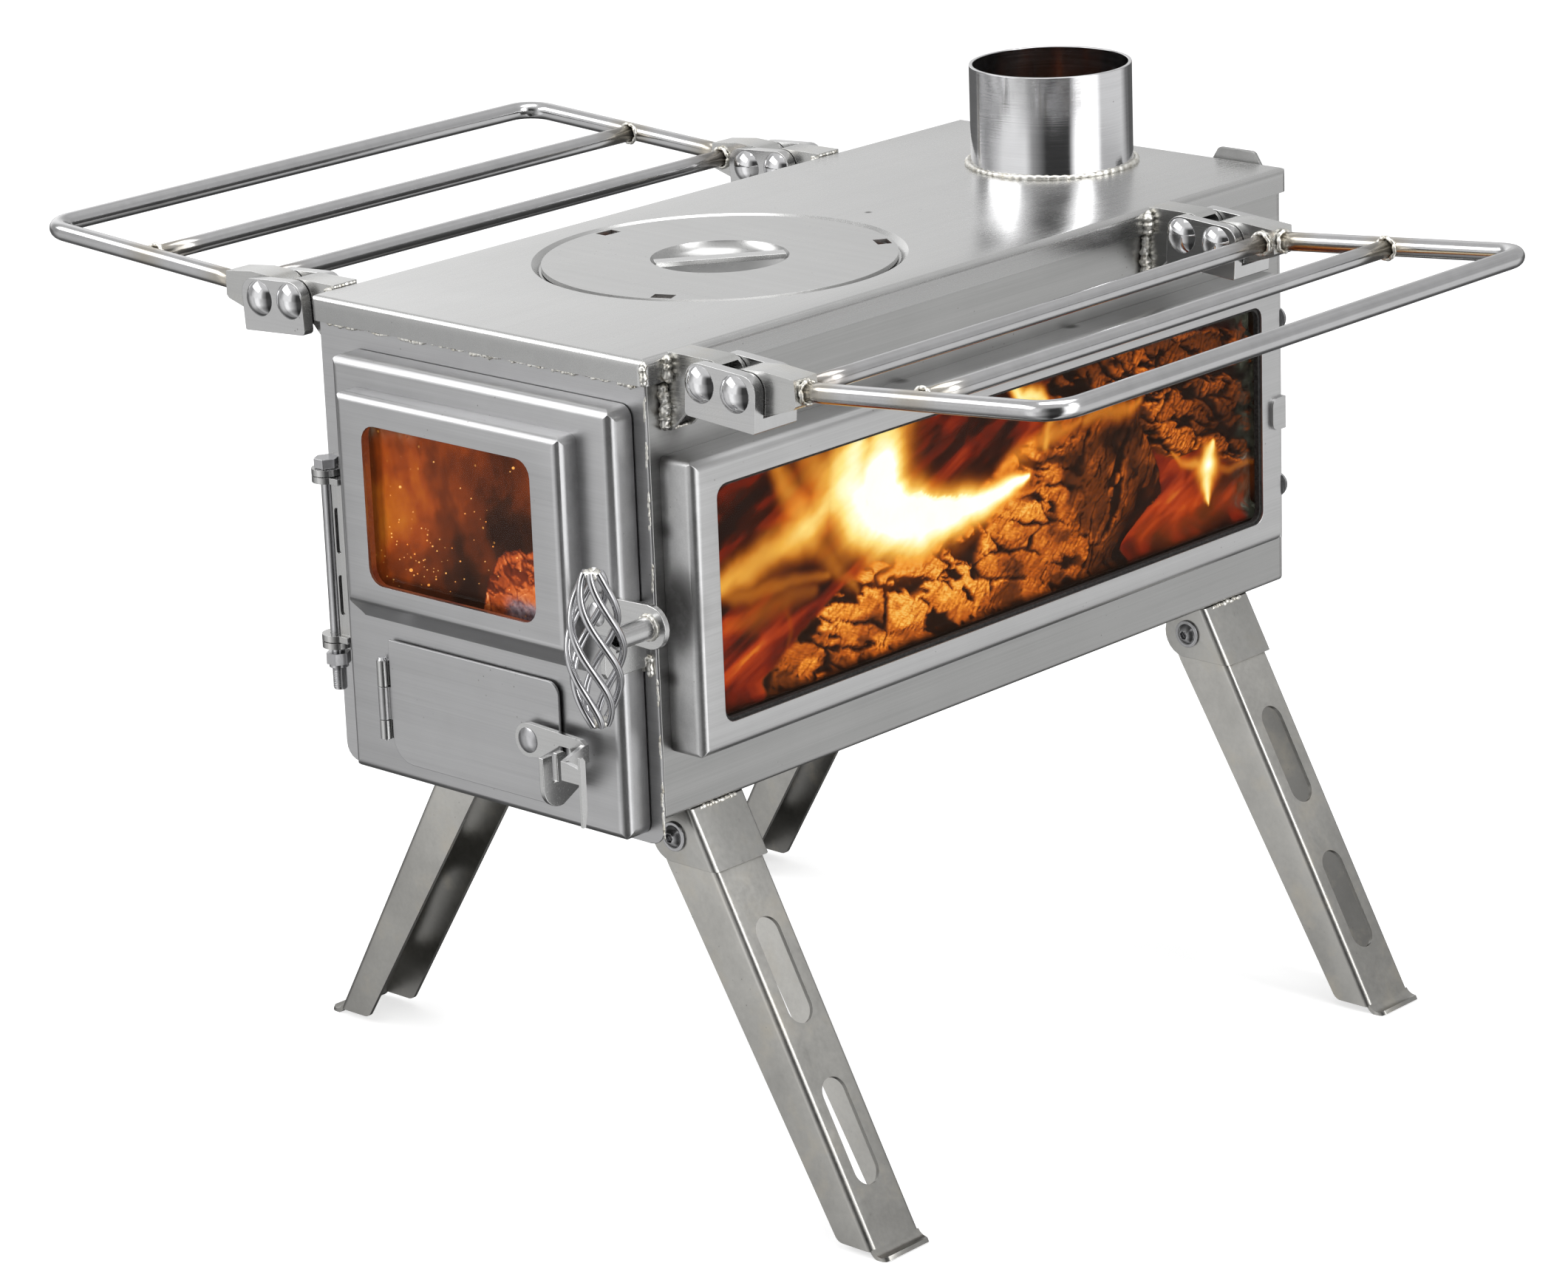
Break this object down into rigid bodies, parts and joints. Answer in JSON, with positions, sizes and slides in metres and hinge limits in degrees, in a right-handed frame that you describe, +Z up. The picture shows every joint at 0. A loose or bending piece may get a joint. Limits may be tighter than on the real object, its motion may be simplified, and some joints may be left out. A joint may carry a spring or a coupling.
{
  "type": "folding tent wood stove",
  "caption": "Stainless steel tent wood stove with a glazed door, a long side window, a cooking lid, a flue collar, two fold-over rod shelves and four folding channel legs.",
  "frame": {"origin": "on the ground, under the middle of the stove's overall box", "axes": "+Z up, the door faces -Y, the long window faces +X"},
  "size_m": [0.6364, 0.5154, 0.4463],
  "materials": {
    "stainless_brushed": "brushed",
    "steel_polished": "polished",
    "weld_metal": "rough bead",
    "rope_gasket": "matte",
    "fire_glass": "clear, heat tinted",
    "cast_grate": "sooty"
  },
  "bodies": {
    "stove": {"firebox_shell": "stainless_brushed", "front_plate": "stainless_brushed", "rear_plate": "stainless_brushed", "top_plate": "stainless_brushed", "flue_collar": "stainless_brushed", "flue_weld_bead": "weld_metal", "weld_beads": "weld_metal", "side_window_frame": "stainless_brushed", "side_window_gasket": "rope_gasket", "side_window_glass": "fire_glass", "side_glass_rails": "stainless_brushed", "side_glass_end_cap": "stainless_brushed", "end_cap_screws": "steel_polished", "shelf_hinge_tabs": "stainless_brushed", "leg_sleeves": "stainless_brushed", "leg_pivot_bolts": "steel_polished", "leg_pivot_nuts": "steel_polished", "door_hinge_bracket": "stainless_brushed", "hinge_bolt": "steel_polished", "hinge_nut": "steel_polished", "door_catch": "stainless_brushed", "rear_tabs": "stainless_brushed", "fire_grate": "cast_grate"},
    "door": {"door_panel": "stainless_brushed", "door_window_frame": "stainless_brushed", "door_window_gasket": "rope_gasket", "door_glass": "fire_glass", "door_rope_gasket": "rope_gasket", "door_hinge_leaf": "stainless_brushed", "flap_keeper": "stainless_brushed", "flap_hinge_knuckles": "stainless_brushed", "flap_hinge_pin": "steel_polished", "lever_pivot_rivet": "steel_polished"},
    "flap": {"air_flap": "stainless_brushed", "flap_latch_rivet": "steel_polished"},
    "latch": {"flap_latch": "stainless_brushed"},
    "lever": {"door_lever": "stainless_brushed", "lever_stem": "stainless_brushed", "handle_cage": "steel_polished"},
    "lid": {"hotplate_lid": "stainless_brushed", "lid_grip_bar": "stainless_brushed"},
    "right_front_hinge": {"right_front_link": "stainless_brushed", "right_front_rivets": "steel_polished"},
    "right_rear_hinge": {"right_rear_link": "stainless_brushed", "right_rear_rivets": "steel_polished"},
    "left_front_hinge": {"left_front_link": "stainless_brushed", "left_front_rivets": "steel_polished"},
    "left_rear_hinge": {"left_rear_link": "stainless_brushed", "left_rear_rivets": "steel_polished"},
    "right_shelf": {"right_shelf_frame": "steel_polished", "right_shelf_cross_rods": "steel_polished", "right_shelf_lugs": "stainless_brushed"},
    "left_shelf": {"left_shelf_frame": "steel_polished", "left_shelf_cross_rods": "steel_polished", "left_shelf_lugs": "stainless_brushed"},
    "front_right_leg": {"leg_front_right": "stainless_brushed"},
    "rear_right_leg": {"leg_rear_right": "stainless_brushed"},
    "front_left_leg": {"leg_front_left": "stainless_brushed"},
    "rear_left_leg": {"leg_rear_left": "stainless_brushed"}
  },
  "joints": [
    {"name": "door_swing", "type": "hinge", "parent": "stove", "child": "door", "pos_m": [-0.092, -0.2015, 0.2775], "axis": [0, 0, -1], "range_deg": [0, 120]},
    {"name": "lever_turn", "type": "hinge", "parent": "door", "child": "lever", "pos_m": [0.0855, -0.2095, 0.2852], "axis": [0, -1, 0], "range_deg": [0, 90]},
    {"name": "flap_swing", "type": "hinge", "parent": "door", "child": "flap", "pos_m": [-0.054, -0.2095, 0.2175], "axis": [0, 0, -1], "range_deg": [0, 90]},
    {"name": "latch_lift", "type": "hinge", "parent": "flap", "child": "latch", "pos_m": [0.0427, -0.213, 0.2204], "axis": [0, -1, 0], "range_deg": [0, 50]},
    {"name": "lid_lift", "type": "slide", "parent": "stove", "child": "lid", "axis": [0, 0, 1], "range_m": [0, 0.007]},
    {"name": "right_front_link_fold", "type": "hinge", "parent": "stove", "child": "right_front_hinge", "pos_m": [0.1283, -0.172, 0.3884], "axis": [0, -1, 0], "range_deg": [0, 93.7]},
    {"name": "right_rear_link_fold", "type": "hinge", "parent": "stove", "child": "right_rear_hinge", "pos_m": [0.1283, 0.1555, 0.3884], "axis": [0, -1, 0], "range_deg": [0, 93.7]},
    {"name": "left_front_link_fold", "type": "hinge", "parent": "stove", "child": "left_front_hinge", "pos_m": [-0.1283, -0.172, 0.3884], "axis": [0, 1, 0], "range_deg": [0, 93.7]},
    {"name": "left_rear_link_fold", "type": "hinge", "parent": "stove", "child": "left_rear_hinge", "pos_m": [-0.1283, 0.1555, 0.3884], "axis": [0, 1, 0], "range_deg": [0, 93.7]},
    {"name": "right_shelf_fold", "type": "hinge", "parent": "right_front_hinge", "child": "right_shelf", "pos_m": [0.1485, -0.172, 0.38709], "axis": [0, -1, 0], "range_deg": [0, 81]},
    {"name": "left_shelf_fold", "type": "hinge", "parent": "left_front_hinge", "child": "left_shelf", "pos_m": [-0.1485, -0.172, 0.38709], "axis": [0, 1, 0], "range_deg": [0, 76]},
    {"name": "front_right_leg_fold", "type": "hinge", "parent": "stove", "child": "front_right_leg", "pos_m": [0.091, -0.1565, 0.1745], "axis": [0, 1, 0], "range_deg": [0, 118.4]},
    {"name": "rear_right_leg_fold", "type": "hinge", "parent": "stove", "child": "rear_right_leg", "pos_m": [0.091, 0.208, 0.1745], "axis": [0, 1, 0], "range_deg": [0, 118.4]},
    {"name": "front_left_leg_fold", "type": "hinge", "parent": "stove", "child": "front_left_leg", "pos_m": [-0.091, -0.0985, 0.1745], "axis": [0, -1, 0], "range_deg": [0, 120]},
    {"name": "rear_left_leg_fold", "type": "hinge", "parent": "stove", "child": "rear_left_leg", "pos_m": [-0.091, 0.1695, 0.1745], "axis": [0, -1, 0], "range_deg": [0, 118.4]}
  ],
  "couplings": [
    {"joint": "right_rear_link_fold", "follows": "right_front_link_fold", "ratio": 1},
    {"joint": "left_rear_link_fold", "follows": "left_front_link_fold", "ratio": 1}
  ]
}
